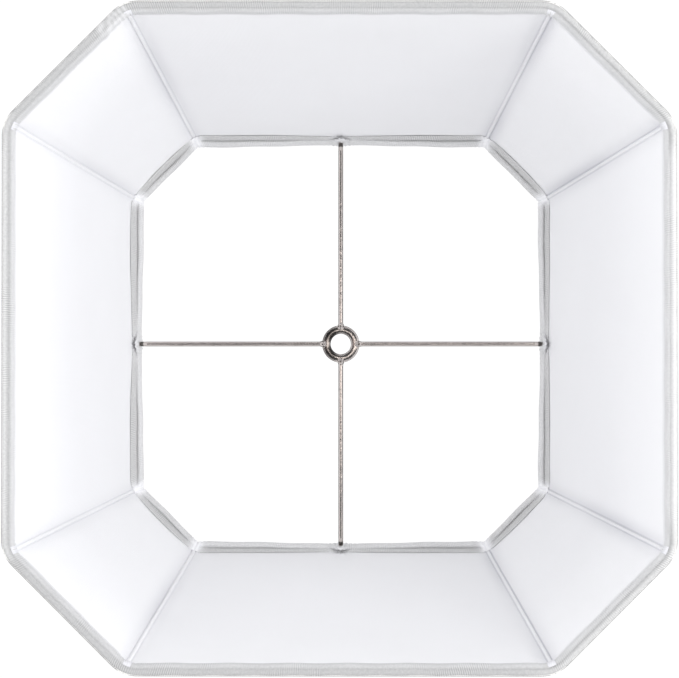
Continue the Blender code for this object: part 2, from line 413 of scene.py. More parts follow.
def grosgrain_tape(colours):
    """Grosgrain binding tape: cross ribs that catch the light, with dark grooves between them,
    clear in some patches and rubbed flat to loose fibres in others, whiter where the cloth is
    drawn together under a stitch and where a highlight is painted, and greyer where shade is
    painted on its flat leg, in its crease and on some sides."""
    material, tree, shader = new_finish(
        "grosgrain_tape", Roughness=0.75, Sheen_Weight=0.1, Sheen_Roughness=0.5
    )
    place = add_node(tree, "ShaderNodeTexCoord", out="Object")
    worn = add_node(
        tree, "ShaderNodeTexNoise", {"Vector": place, "Scale": 1 / (12 * MM), "Detail": 1.0}
    )
    patches = add_node(
        tree, "ShaderNodeMapRange", {"Value": worn, "From Min": 0.5, "From Max": 0.7}
    )
    fibres = add_node(
        tree, "ShaderNodeTexNoise", {"Vector": place, "Scale": 1 / (1.1 * MM), "Detail": 3.0}
    )
    # Real ribs lie 0.6 mm apart, too fine to show, so they are drawn 1 mm apart.
    edges = add_node(
        tree, "ShaderNodeMix", {0: patches, 2: fibres, 3: threads(tree, 1 * MM, "X", 3.0)}
    )
    woven = add_node(
        tree, "ShaderNodeMix",
        {0: edges, 6: tone(colours.tape_groove, 1), 7: tone(colours.tape, 1)}, 2,
        data_type="RGBA",
    )
    # Painted shade: the tape greyed on its leg, in its crease and on shaded sides
    leg = add_node(tree, "ShaderNodeAttribute", out="Fac", attribute_name="leg")
    flat = add_node(
        tree, "ShaderNodeMix", {0: leg, 6: woven, 7: tone(colours.tape_leg, 1)}, 2,
        data_type="RGBA", blend_type="MULTIPLY",
    )
    # White where a stitch draws the cloth together, and painted highlights
    tuck_and_highlight = add_node(tree, "ShaderNodeAttribute", out="Fac", attribute_name="tuck_and_highlight")
    drawn = add_node(
        tree, "ShaderNodeMix", {0: tuck_and_highlight, 6: flat, 7: tone(colours.lining, 0.97)}, 2,
        data_type="RGBA",
    )
    tree.links.new(drawn, shader.inputs["Base Color"])
    relief = add_node(
        tree, "ShaderNodeBump", {"Height": edges, "Strength": 1.0, "Distance": 0.09 * MM}
    )
    tree.links.new(relief, shader.inputs["Normal"])
    return material


def bright_nickel(colours):
    """Bright nickel plate on drawn steel: clear dark and light reflections, pulled out into
    streaks by die lines that run along the wire and round the washer, dark stains where heat
    has burnt the plate by a weld, and painted dark reflections on the arms' steep part and the
    washer's +X side. Shallow dents from stamping and welding break the reflections up."""
    material, tree, shader = new_finish("bright_nickel", Metallic=1.0)
    along = add_node(
        tree, "ShaderNodeMapping",
        {"Vector": add_node(tree, "ShaderNodeUVMap", uv_map="cloth"), "Scale": (0.07, 1, 1)},
    )
    lines = add_node(
        tree, "ShaderNodeTexNoise", {"Vector": along, "Scale": 1 / (0.7 * MM), "Detail": 3.0}
    )
    place = add_node(tree, "ShaderNodeTexCoord", out="Object")
    smudge = add_node(tree, "ShaderNodeTexNoise", {"Vector": place, "Scale": 1 / (9 * MM)})
    plate = add_node(
        tree, "ShaderNodeMix",
        {0: lines, 6: tone(colours.nickel_dark, 1), 7: tone(colours.nickel, 1)}, 2,
        data_type="RGBA",
    )
    # Stains, and painted dark reflections on the arms' steep part and the washer's +X side
    stain_and_reflection = add_node(tree, "ShaderNodeAttribute", out="Fac", attribute_name="stain_and_reflection")
    plate_with_marks = add_node(
        tree, "ShaderNodeMix", {0: stain_and_reflection, 6: plate, 7: tone(colours.stain_and_reflection, 1)}, 2,
        data_type="RGBA",
    )
    tree.links.new(plate_with_marks, shader.inputs["Base Color"])
    rough = add_node(tree, "ShaderNodeMapRange", {"Value": smudge, "To Min": 0.07, "To Max": 0.2})
    tree.links.new(rough, shader.inputs["Roughness"])
    dents = add_node(tree, "ShaderNodeTexNoise", {"Vector": place, "Scale": 1 / (2.5 * MM)})
    height = add_node(
        tree, "ShaderNodeMath", {0: dents, 1: 2.2, 2: lines}, operation="MULTIPLY_ADD"
    )
    relief = add_node(
        tree, "ShaderNodeBump", {"Height": height, "Strength": 1.0, "Distance": 0.035 * MM}
    )
    tree.links.new(relief, shader.inputs["Normal"])
    return material


def zinc_wire(colours):
    """Zinc-plated drawn wire: dull grey with a cloudy spangle."""
    material, tree, shader = new_finish("zinc_wire", Roughness=0.45, Metallic=1.0)
    place = add_node(tree, "ShaderNodeTexCoord", out="Object")
    spangle = add_node(
        tree, "ShaderNodeTexNoise", {"Vector": place, "Scale": 1 / (3 * MM), "Detail": 4.0}
    )
    plate = add_node(
        tree, "ShaderNodeMix",
        {0: spangle, 6: tone(colours.wire, 0.75), 7: tone(colours.wire, 1)}, 2, data_type="RGBA",
    )
    tree.links.new(plate, shader.inputs["Base Color"])
    relief = add_node(
        tree, "ShaderNodeBump", {"Height": spangle, "Strength": 1.0, "Distance": 0.02 * MM}
    )
    tree.links.new(relief, shader.inputs["Normal"])
    return material


def studio_paint(colours):
    """Matt pale studio paint with the faintest mottling."""
    material, tree, shader = new_finish("studio_paint", Roughness=0.9)
    place = add_node(tree, "ShaderNodeTexCoord", out="Object")
    mottle = add_node(tree, "ShaderNodeTexNoise", {"Vector": place, "Scale": 1.6})
    paint = add_node(
        tree, "ShaderNodeMix",
        {0: mottle, 6: tone(colours.floor, 0.98), 7: tone(colours.floor, 1)}, 2,
        data_type="RGBA",
    )
    tree.links.new(paint, shader.inputs["Base Color"])
    return material


def finish(maker, context):
    """Each finish is made once, under its maker's name, and shared by all its pieces."""
    return bpy.data.materials.get(maker.__name__) or maker(context.scene.shade_colours)


# ---------------------------------------------------------------- cloth panels

# How strongly the ribs' shadow is painted on the lining, at each side's first and second rib
RIB_SHADOW = np.array([
    (0.3, 0.25), (0.5, 0.6), (0.6, 0.55), (0.9, 1.0),
    (0.5, 0.9), (0.7, 0.5), (0.6, 0.3), (0.7, 0.4),
])

# How dark the painted shade in the stitched groove beside each seam is, in the same order
GROOVE = np.array([
    (0.3, 0.2), (0.3, 0.4), (0.3, 0.4), (0.5, 0.5),
    (0.4, 0.5), (0.4, 1.0), (0.5, 0.3), (0.3, 0.3),
])

GROOVE_DEPTH = 0.25 * MM

# The bottom binding's crease covers the wall's lowest part, so the lining starts this far up
COVERED = 1.7 * MM


def panel_name(layer, side):
    """The name of the CAD panel that makes one side of the lining or the cover."""
    kind = "main" if side % 2 == 0 else "corner"
    return f"{layer}_{kind}_panel_{side // 2 + 1}"


def panel_grid(side, low, high, sizes):
    """Shares across one panel and heights up it, crowded where the cloth is stitched."""
    span = float(reach(side, TOP_Z, 0.0, sizes))
    climb = crowded(0.5 * MM, 7 * MM, 1.08, (high - low) / 2)
    heights = np.concatenate([low + climb, high - climb[-2::-1]])
    return shares(span, side % 2 == 0)[None, :], heights[:, None]


def seam_pipe(edge, sizes):
    """Half of a rib seam: a rounded pipe over the seam allowance, whose height is a power of one
    less the square of the distance from its top line, and a bell-shaped groove past its foot."""
    foot = sizes.seam_width / 2
    pipe = np.maximum(1 - (edge / foot) ** 2, 0) ** 0.7
    return sizes.seam_height * pipe - GROOVE_DEPTH * bell(edge - 1.15 * foot, 0.3 * foot)


def fan(dx, dz, folds, turn, size, spread):
    """Small folds that fan out from a stitched point: a cosine of the direction from it, that
    dies away with distance and is flat at the point itself."""
    distance = np.hypot(dx, dz) + 1e-9
    angle = np.arctan2(dx, dz)
    fold = 0.5 + 0.5 * np.cos(folds * angle + turn)
    return size * fold * np.exp(-distance / spread) * smooth(distance / (1.5 * MM))


def lining_relief(side, share, z, sizes):
    """How far the lining stands inwards: pipes at the ribs, folds at the stitches, and soft waves
    that are the product of two sines, never deeper than the seam's groove."""
    span = reach(side, z, 0.0, sizes)
    edge = span * (1 - np.abs(share))
    relief = seam_pipe(edge, sizes)
    for height, turn in ((HIGH_STITCH, 0.7), (LOW_STITCH, 2.1)):
        relief = relief + fan(edge, z - height, 9, turn + side, sizes.pucker, 7 * MM)
    if side % 2 == 0:
        above = z - HIGH_STITCH
        relief = relief + fan(share * span, above, 11, 0.4 + side, sizes.pucker, 8 * MM)
    waves = np.sin(41 * share * span + 1.3 * side) * np.sin(23 * z + 2.1 * side + 9 * share)
    return np.maximum(relief + 0.06 * MM * (1 + waves), -GROOVE_DEPTH)


def lining_backing(side, share, z, sizes):
    """How much painted shade the lining gets: a soft painted shadow band along each rib, for the
    wire and seam allowances behind the thin cloth, that comes and goes, weaker on the pipe
    itself, and a thin painted dark line in the groove at its foot."""
    edge = reach(side, z, 0.0, sizes) * (1 - np.abs(share))
    end = (share > 0).astype(int)
    drift = 0.75 + 0.25 * np.sin(31 * z + 2.4 * side + 1.7 * end)
    band = bell(edge, 5 * MM) - 0.6 * bell(edge, 0.7 * MM)
    groove = bell(edge - 0.6 * sizes.seam_width, 0.35 * MM)
    return np.clip(0.75 * RIB_SHADOW[side, end] * drift * band + GROOVE[side, end] * groove, 0, 1)


def cover_relief(side, share, z, sizes):
    """How far the outer cloth stands outwards: a swell over each rib wire with a sewn seam on it,
    and soft waves."""
    edge = reach(side, z, 0.0, sizes) * (1 - np.abs(share))
    swell = 0.35 * MM * bell(edge, 2.6 * MM) + 0.35 * MM * bell(edge - 1.4 * MM, 0.7 * MM)
    waves = np.sin(33 * share + 0.7 * side) * np.sin(19 * z + 1.7 * side)
    return swell - 0.25 * MM * bell(edge, 0.3 * MM) + 0.1 * MM * waves


def add_panel(layer, side, sizes, material, slot):
    """One cloth panel between two ribs, as a thin solid that stands for its CAD panel. The lining
    starts above the crease of the bottom binding, which covers its edge."""
    low = WALL_LOW + (COVERED if layer == "lining" else 0)
    share, z = panel_grid(side, low, WALL_HIGH, sizes)
    near = WIRE_R + sizes.layer_gap
    if layer == "lining":
        back = np.full(np.broadcast(share, z).shape, -near)
        front = back - sizes.cloth - lining_relief(side, share, z, sizes)
        # Painted shade along the ribs and in the seam grooves
        painted_shade = lining_backing(side, share, z, sizes)
    else:
        back = np.full(np.broadcast(share, z).shape, near)
        front = back + sizes.cloth + cover_relief(side, share, z, sizes)
        painted_shade = np.zeros_like(front)
    uv = np.stack(np.broadcast_arrays(share * reach(side, z, 0.0, sizes), z), -1)
    name = panel_name(layer, side)
    piece = add_slab(
        name + "_cloth",
        wall(side, share, z, front, sizes),
        wall(side, share, z, back, sizes),
        uv, material, slot, attributes={"painted_shade": np.concatenate([painted_shade, painted_shade], 1)},
    )
    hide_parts(name)


# ---------------------------------------------------------------- bindings

# How grey the bottom tape is painted on each side, as shade where less of the side light falls;
# # below 0, how much whiter, as a painted highlight
LOW_SIDE_SHADE = np.array([0.15, 0.9, 0.95, 0.5, -0.25, 0.35, 1.0, 1.0])

# Bindings are sewn by hand, so each side's leg comes out its own length, in millimetres
TOP_LEGS = np.array([15.5, 13.0, 11.8, 14.0, 11.8, 13.2, 10.8, 13.5])
LOW_LEGS = np.array([8.2, 7.6, 7.2, 8.0, 9.0, 7.6, 6.2, 7.8])

# The bend beside which the bottom tape's end laps over its start
LAP_BEND = 1

# Steps between a binding profile's points, and rows down its flat leg
FOLD_STEPS, LEG_ROWS = 4, 7

# The strap over each rib's seam at each ring: height of the ring, half its width, how proud it
# stands, the rows of the binding's profile that it follows, and how grey it is painted as shade
TIES = {
    "top": (HIGH_Z, 2.3 * MM, 0.85 * MM, slice(26, 58), 0.1),
    "bottom": (LOW_Z, 1.9 * MM, 0.3 * MM, slice(42, 64), 0.45),
}


def ring_columns(sizes):
    """The side and share of each column round a binding: each side's shares but its last."""
    rows = []
    for side in range(SIDES):
        span = float(reach(side, TOP_Z, 0.0, sizes))
        share = shares(span, side % 2 == 0)[:-1]
        rows.append(np.stack([np.full_like(share, side), share]))
    side, share = np.concatenate(rows, 1)
    return side.astype(int)[None, :], share[None, :]


def girth(side, share, z, sizes):
    """Distance along the ring up to each column, with the whole way round added at the end."""
    spans = reach(np.arange(SIDES), z, 0.0, sizes)
    starts = np.concatenate([[0], np.cumsum(2 * spans)])
    along = starts[side[0]] + spans[side[0]] * (1 + share[0])
    return np.append(along, starts[-1])


def tie_distances(side, share, z, sizes):
    """Distance along the ring to the nearest rib and to the nearest arm (far, on corner sides)."""
    span = reach(side, z, 0.0, sizes)
    rib = span * (1 - np.abs(share))
    arm = np.where(side % 2 == 0, span * np.abs(share), 1.0)
    return rib, arm


def blended(values, side, share):
    """One value per side, eased into the next side's within the last fifth of each side."""
    other = (side + np.where(share > 0, 1, -1)) % SIDES
    ease = 0.5 * smooth((np.abs(share) - 0.8) / 0.2)
    return values[side] * (1 - ease) + values[other] * ease


def with_leg(outs, heights, edge_out, edge_height, bow=1.0):
    """A profile with its flat leg added: evenly spaced rows from its last point to the leg's free
    edge, straight, or bowed by a power of the share of the way."""
    more = np.linspace(0, 1, LEG_ROWS + 1)[1:, None]
    outs = np.concatenate([outs, outs[-1:] + (edge_out - outs[-1:]) * more**bow])
    heights = np.concatenate([heights, heights[-1:] + (edge_height - heights[-1:]) * more])
    return outs, heights


def face_normals(outs, heights):
    """Length of each step from row to row of a profile, and the unit normal off its visible face,
    which is the step turned by a quarter turn."""
    step_out, step_up = np.gradient(outs, axis=0), np.gradient(heights, axis=0)
    step = np.hypot(step_out, step_up) + 1e-12
    return step, -step_up / step, step_out / step


def top_profile(side, share, sizes):
    """The visible face of the top binding in each column, as (out, height) grids. From the outer
    leg it goes over the wire, round a roll that stands in over the opening, into a crease, and
    down the inner leg. Stitches at each rib and arm draw the leg up, so it hangs in lobes: each
    column is a mix, by its slack, of the curve midway between stitches and the one at a stitch."""
    rib, arm = tie_distances(side, share, HIGH_Z, sizes)
    span = reach(side, HIGH_Z, 0.0, sizes)
    from_rib = np.where(side % 2 == 1, 1 - (1 - rib / span) ** 2, 1 - np.exp(-rib / (2.5 * MM)))
    slack = np.maximum(from_rib, 0) ** 0.7 * np.clip(arm / (42 * MM), 0, 1) ** 0.6
    slack = slack * smooth((rib - 1 * MM) / (2.5 * MM))
    # the leg's length at a stitch, in millimetres
    short = 9.4 - 0.8 * (side % 2)
    leg = short + (blended(TOP_LEGS, side, share) - short) * slack
    # how much further in the roll stands away from an arm, in millimetres
    inwards = 1.1 * smooth(arm / (75 * MM)) * np.where(side % 2 == 1, 0.7, 1)
    # (out, down) in millimetres: over the wire, then the rest between stitches and at a stitch
    over_wire = [
        (2.45, 14), (2.5, 9), (2.5, 3.2), (1.9, 0.9), (0.3, 0.1), (-1.8, 0.1), (-4.0, 0.8)
    ]
    hanging = [
        *over_wire, (-4.95, 2.4), (-4.95, 4.2), (-4.45, 5.5), (-3.75, 5.7), (-3.2, 4.5),
        (-2.8, 5.7), (-3.0, 7.2), (-2.6, 9.2),
    ]
    drawn_up = [
        *over_wire, (-4.85, 2.4), (-4.85, 4.2), (-4.5, 5.8), (-3.9, 6.9), (-3.4, 7.7),
        (-3.0, 8.3), (-2.6, 8.7), (-2.4, 9.0),
    ]
    hanging, drawn_up = curve_through(hanging, FOLD_STEPS), curve_through(drawn_up, FOLD_STEPS)
    outs = drawn_up[:, :1] + (hanging[:, :1] - drawn_up[:, :1]) * slack
    downs = drawn_up[:, 1:] + (hanging[:, 1:] - drawn_up[:, 1:]) * slack
    outs, downs = with_leg(outs, downs, -2.18, leg)
    roll_foot, roll_width = -2.9, 1.4
    outs = outs - smooth((roll_foot - outs) / roll_width) * inwards
    # where an arm comes through, the tape is gathered down round it
    on_roll = bell(arm, 4.2 * MM) * smooth((roll_foot - outs) / roll_width)
    downs = downs + 8.5 * on_roll * smooth((downs - 2) / 2.4)
    outs = outs - 0.6 * on_roll
    return outs * MM, TOP_Z - downs * MM, rib, arm, slack


def top_binding(sizes, tape, lining):
    """Adds the top edge's binding and its eight straps. Gathers beside each stitch are a cosine of
    the way round that dies away from it, and a slow sine lets the roll sway. The tape is white
    where a stitch draws it together, the roll has a painted highlight, stronger on the main
    sides, and its leg is painted a little grey as shade."""
    side, share = ring_columns(sizes)
    outs, heights, rib, arm, slack = top_profile(side, share, sizes)
    round_it = girth(side, share, HIGH_Z, sizes)[None, :-1]
    inner = smooth((0.5 * MM - outs) / (2 * MM))
    roll = smooth((-2.6 * MM - outs) / (1.4 * MM))
    gather = 0.25 * MM * np.cos(math.tau * round_it / (2.3 * MM))
    gather = gather * np.maximum(bell(rib, 5 * MM), bell(arm - 3 * MM, 5 * MM))
    sway = 0.15 * MM * np.sin(math.tau * round_it / (31 * MM)) * slack
    outs = outs - inner * gather - roll * sway
    tuck_and_highlight = np.maximum(1.1 * bell(rib, 4 * MM), 0.5 * bell(arm, 7 * MM))
    # painted highlight on the roll, stronger on the main sides
    tuck_and_highlight = np.maximum(tuck_and_highlight, (0.27 - 0.17 * (side % 2)) * roll)
    down = (TOP_Z - heights) / MM
    attributes = {
        "tuck_and_highlight": np.clip(tuck_and_highlight, 0, 1) * inner + 0.6 * (1 - inner) * smooth((down - 1) / 2),
        # painted shade: the inner leg below the roll is greyed
        "leg": 0.2 * smooth((down - 4.9) / 1.2) * inner,
    }
    piece, flat = add_binding(
        "top_binding_tape", outs, heights, side, share, sizes, tape, attributes
    )
    ties = [add_tie("top", bend, top_profile, sizes, lining) for bend in range(SIDES)]


def bottom_profile(side, share, sizes):
    """The visible face of the bottom binding in each column, as (out, height) grids: outer leg, a
    round fold under the wire, a crease and a short inner leg leaning on the lining."""
    rib, _ = tie_distances(side, share, LOW_Z, sizes)
    slack = smooth((rib - 0.5 * MM) / (6 * MM))
    leg = blended(LOW_LEGS, side, share) * (0.75 + 0.25 * slack)
    fold = curve_through(
        [
            (2.4, 10), (2.45, 6), (2.5, 2.6), (2.4, 1.1), (2.1, 0.75), (1.85, 0.95), (1.5, 0.35),
            (0.8, 0), (0, 0.08), (-0.65, 0.4), (-1.1, 0.95), (-1.5, 0.95), (-2.05, 1.1),
            (-2.6, 1.8), (-2.85, 3.2),
        ],
        FOLD_STEPS,
    )
    outs, heights = fold[:, :1] + 0 * slack, fold[:, 1:] + 0 * slack
    outs, heights = with_leg(outs, heights, -2.3, leg, bow=1.5)
    return outs * MM, heights * MM, rib


def bottom_binding(sizes, tape, lining):
    """Adds the bottom edge's binding and its eight straps, with gathers and a sway as at the top.
    Its end laps over its start beside one bend. Some sides are painted greyer as shade and one
    whiter as a painted highlight; a painted dark line runs along its outer edge, it is painted
    grey as shade into the crease, and that grey fades into the lining's white up the inner leg."""
    side, share = ring_columns(sizes)
    outs, heights, rib = bottom_profile(side, share, sizes)
    round_it = girth(side, share, LOW_Z, sizes)
    bend_at = round_it[:-1][(side[0] == LAP_BEND) & (share[0] > 0)].max()
    round_it = round_it[None, :-1]
    inner = smooth((0.5 * MM - outs) / (2 * MM))
    gather = 0.2 * MM * np.cos(math.tau * round_it / (1.9 * MM)) * bell(rib, 4.5 * MM)
    sway = 0.15 * MM * np.sin(math.tau * round_it / (27 * MM) + 1)
    behind = bend_at - round_it
    lap = smooth((behind + 1 * MM) / (0.8 * MM)) * smooth((17 * MM - behind) / (1.6 * MM))
    outs = outs - inner * (gather + sway + 0.45 * MM * lap)
    # the two ends of the tape are frayed where they lap
    fray = 0.3 * lap * (0.5 + 0.5 * np.cos(math.tau * round_it / (2.4 * MM) + 900 * outs))
    out_mm, up_mm = outs / MM, heights / MM
    grey = blended(LOW_SIDE_SHADE, side, share)
    greyer, whiter = np.maximum(grey, 0), np.maximum(-grey, 0)
    # painted shade: a dark line along the outer edge, per-side shade, and greying into the crease
    rim_shade = greyer + 0.55 * bell(out_mm - 2.3, 0.5)
    crease_shade = smooth((1 - out_mm) / 2)
    # painted shade: from the crease on, the leg's grey fades into the lining's white
    shade_fade = (1 - 0.35 * greyer) * np.clip((-1.2 - out_mm) / 3.4, 0, 0.47)
    shade_fade = shade_fade + 0.45 * smooth((up_mm - 2.6) / 4)
    outer_leg = 0.6 * (out_mm > 2.2) * (up_mm > 3)
    # painted highlight on the whiter side; the outer leg is whiter from 3 mm up
    white = np.maximum(whiter * (out_mm < 2), outer_leg)
    attributes = {
        "leg": np.clip(np.maximum(rim_shade, crease_shade), 0, 1),
        "tuck_and_highlight": fray + np.maximum(shade_fade, white),
    }
    piece, flat = add_binding(
        "bottom_binding_tape", outs, heights, side, share, sizes, tape, attributes
    )
    ties = [add_tie("bottom", bend, bottom_profile, sizes, lining) for bend in range(SIDES)]


def add_binding(name, outs, heights, side, share, sizes, material, attributes):
    """A folded tape as a closed solid: its visible face from one free edge to the other, and the
    same face one thickness further in. Rows go round the fold and columns round the ring."""
    step, normal_out, normal_up = face_normals(outs, heights)
    inner_outs = outs - sizes.tape * normal_out
    inner_heights = heights - sizes.tape * normal_up
    points = wall(
        side, share, np.concatenate([heights, inner_heights[::-1]]),
        np.concatenate([outs, inner_outs[::-1]]), sizes,
    )
    fold = np.concatenate([[0], np.cumsum(step[1:].mean(1))])
    around = np.concatenate([fold, fold[::-1], fold[:1]])
    round_it = girth(side, share, float(heights.mean()), sizes)
    uv = np.stack(np.broadcast_arrays(round_it[None, :], around[:, None]), -1)
    both = {key: np.concatenate([value, value[::-1]]) for key, value in attributes.items()}
    piece = add_grid(
        name + "_cloth", points, uv, material, "binding_tape", close_rows=True, attributes=both
    )
    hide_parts(name)
    return piece, (float(fold[-1]), float(round_it[-1]))


def add_tie(ring, bend, profile, sizes, lining):
    """Where a rib's seam meets a ring, its pipe runs on over the binding as a narrow strap of
    lining with two rounded ridges, a cosine across its width that swings a little from side to
    side: a band carried along the binding's own profile and raised along its normals."""
    level, half, proud, rows, grey = TIES[ring]
    across = np.linspace(-1, 1, 21)
    side = np.where(across < 0, bend, (bend + 1) % SIDES)
    gap = half * np.abs(across) / reach(side, level, 0.0, sizes)
    share = np.where(across < 0, 1 - gap, gap - 1)
    outs, heights, *_ = profile(side[None, :], share[None, :], sizes)
    outs, heights = outs[rows], heights[rows]
    _, normal_out, normal_up = face_normals(outs, heights)
    along = np.linspace(0, 1, len(outs))[:, None]
    taper = smooth(along / 0.12) * smooth((1 - along) / 0.1)
    wobble = 0.12 * np.sin(9 * along + 3 * bend)
    ridges = (1 - across**4) * (0.72 - 0.28 * np.cos(2 * math.tau * (across + wobble)))
    rise = proud * ridges * (0.25 + 0.75 * taper)
    strap_length, sunk = 9 * MM, 0.25 * MM
    uv = np.stack(np.broadcast_arrays(across[None, :] * half, along * strap_length), -1)
    front = wall(side, share, heights + normal_up * rise, outs + normal_out * rise, sizes)
    back = wall(side, share, heights - normal_up * sunk, outs - normal_out * sunk, sizes)
    # Painted shade: the strap is greyed all over, and more between its two ridges
    painted_shade = np.broadcast_to(grey + 0.3 * (1 - ridges), front.shape[:2])
    return add_slab(
        f"{ring}_rib_tie_{bend + 1}", front, back, uv, lining, "lining_cloth",
        attributes={"painted_shade": np.concatenate([painted_shade, painted_shade], 1)},
    )


# ---------------------------------------------------------------- spider

# How far each arm's end lies in over the washer
ARM_LAP = 2.9 * MM


def arm_path():
    """(distance out, height) along an arm: level from where it lies on the washer, round one bend,
    an arc, then straight and steeply up to the top ring wire."""
    level = (WASHER_LOW.z + WASHER_HIGH.z) / 2
    slope, bend_r = math.radians(58), 5 * MM
    rise = HIGH_Z - level - bend_r * (1 - math.cos(slope))
    bend_start = HIGH_HALF - rise / math.tan(slope) - bend_r * math.sin(slope)
    start = WASHER_HIGH.x - ARM_LAP
    level_run = start + crowded(0.12 * MM, 1.5 * MM, 1.1, bend_start - start)[:-1]
    turns = np.linspace(0, slope, 16)
    up_run = np.linspace(0, 1, 12)[1:]
    out = [level_run, bend_start + bend_r * np.sin(turns)]
    up = [np.full_like(level_run, level), level + bend_r * (1 - np.cos(turns))]
    out.append(out[1][-1] + up_run * (HIGH_HALF - out[1][-1]))
    up.append(up[1][-1] + up_run * (HIGH_Z - WIRE_R - up[1][-1]))
    return np.concatenate(out), np.concatenate(up)


def add_arm(number, material):
    """A round wire along its path: each ring of points stands square to the path. Its rounded end
    lies on the washer, under a lumpy bead of weld, and its plate is burnt at the weld; past the
    bend its steep part is painted dark as a reflection."""
    out, up = arm_path()
    ahead = np.stack([np.gradient(out), np.gradient(up)])
    ahead = ahead / np.hypot(*ahead)
    way = np.concatenate([[0], np.cumsum(np.hypot(np.diff(out), np.diff(up)))])
    nose = 1.3 * MM
    rounded = np.sqrt(np.clip(1 - (1 - np.minimum(way / nose, 1)) ** 2, 0.02, 1))
    weld = 0.62 * MM * bell(way - 1.4 * MM, 1.0 * MM) + 0.35 * MM * bell(way - 3.1 * MM, 0.5 * MM)
    radius = (ARM_R + weld) * rounded
    segments = 32
    turn = np.linspace(0, math.tau, segments, endpoint=False)[None, :]
    lumps = 1 + 0.06 * bell(way - 2 * MM, 2 * MM)[:, None] * np.sin(3 * turn + number)
    across = radius[:, None] * np.cos(turn) * lumps
    lift = radius[:, None] * np.sin(turn) * lumps
    x = out[:, None] - ahead[1][:, None] * lift
    z = up[:, None] + ahead[0][:, None] * lift
    angle = (number - 1) * math.pi / 2
    cos, sin = math.cos(angle), math.sin(angle)
    points = np.stack([cos * x - sin * across, sin * x + cos * across, z], -1)
    around = np.append(turn[0], math.tau) * ARM_R
    uv = np.stack(np.broadcast_arrays(way[:, None], around[None, :]), -1)
    steep = np.arctan2(ahead[1], ahead[0])
    # Painted dark reflection where the arm turns steeply up
    dark_reflection = smooth((steep - 0.32) / 0.1) * (1 - 0.8 * smooth((steep - 0.7) / 0.15))
    stain_and_reflection = 0.9 * dark_reflection + 0.6 * bell(way - 2.2 * MM, 0.3 * MM)
    piece = add_grid(
        f"spider_arm_{number}_wire", points, uv, material, "nickel_plate", sharp=60,
        attributes={"stain_and_reflection": np.repeat(np.clip(stain_and_reflection, 0, 1), segments)},
    )
    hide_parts(f"spider_arm_{number}")


def add_washer(material):
    """A stamped washer: a profile turned round the axis, with a rounded outer edge, a softer hole
    edge and faces that crown slightly between them."""
    inner, outer = HOLE_R, WASHER_HIGH.x
    half = (WASHER_HIGH.z - WASHER_LOW.z) / 2
    level = (WASHER_HIGH.z + WASHER_LOW.z) / 2
    edge = 0.9 * MM
    middle = (inner + outer) / 2
    lower = [
        (inner, 0), (inner + 0.1 * MM, -0.45 * half), (inner + edge, -0.85 * half),
        (middle, -half), (outer - edge, -0.78 * half), (outer - 0.14 * MM, -0.35 * half),
        (outer, 0),
    ]
    under = curve_through(lower, 6)
    over = under[::-1] * (1, -1)
    profile = np.concatenate([under, over[1:-1]])
    turn = np.linspace(0, math.tau, 128, endpoint=False)
    radius, height = profile[:, :1], profile[:, 1:]
    points = np.stack(
        np.broadcast_arrays(radius * np.cos(turn), radius * np.sin(turn), level + height), -1
    )
    path = np.arange(len(profile) + 1) * 0.4 * MM
    round_it = np.append(turn, math.tau) * middle
    uv = np.stack(np.broadcast_arrays(round_it[None, :], path[:, None]), -1)
    # darker midway between the four welds, and towards +X as a painted dark reflection
    washer_darkening = 0.45 * np.abs(np.sin(2 * turn)) + 0.45 * np.cos(turn - 0.2) - 0.05
    # and the punched edge of the hole is raw
    stain_and_reflection = np.clip(washer_darkening, 0, 1) + 0.45 * bell(radius - inner, 0.6 * MM)
    piece = add_grid(
        "spider_washer_ring", points, uv, material, "nickel_plate", close_rows=True, sharp=50,
        attributes={"stain_and_reflection": np.clip(stain_and_reflection, 0, 1)},
    )
    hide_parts("spider_washer")


# ---------------------------------------------------------------- studio


def add_lamp(name, place, aim, size, power, tint):
    """A soft lamp turned to its aim, not itself seen by the camera. The low ones stay out of
    reflections, so that the plated wire has something dark to reflect; the strips are seen in
    reflections only."""
    data = bpy.data.lights.new(name, "AREA")
    data.shape = "RECTANGLE"
    data.size, data.size_y = size
    data.energy = power
    data.color = tint
    lamp = bpy.data.objects.new(name, data)
    lamp.location = place
    lamp.rotation_euler = (Vector(aim) - Vector(place)).to_track_quat("-Z", "Y").to_euler()
    lamp.visible_camera = False
    lamp.visible_glossy = "low" not in name
    lamp.visible_diffuse = "strip" not in name
    bpy.context.scene.collection.objects.link(lamp)


def add_camera():
    """Straight up into the shade from below, a little off its axis, with +Y up in the view."""
    place, aim = Vector((-0.0038, -0.0162, -1.0726)), Vector((-0.0001, -0.0006, 0))
    back = (place - aim).normalized()
    right = Vector((0, 1, 0)).cross(back).normalized()
    data = bpy.data.cameras.new("camera")
    data.lens = 126.46
    data.clip_end = 50
    camera = bpy.data.objects.new("camera", data)
    turn = Matrix((right, back.cross(right), back)).transposed().to_4x4()
    camera.matrix_world = Matrix.Translation(place) @ turn
    bpy.context.scene.collection.objects.link(camera)
    bpy.context.scene.camera = camera


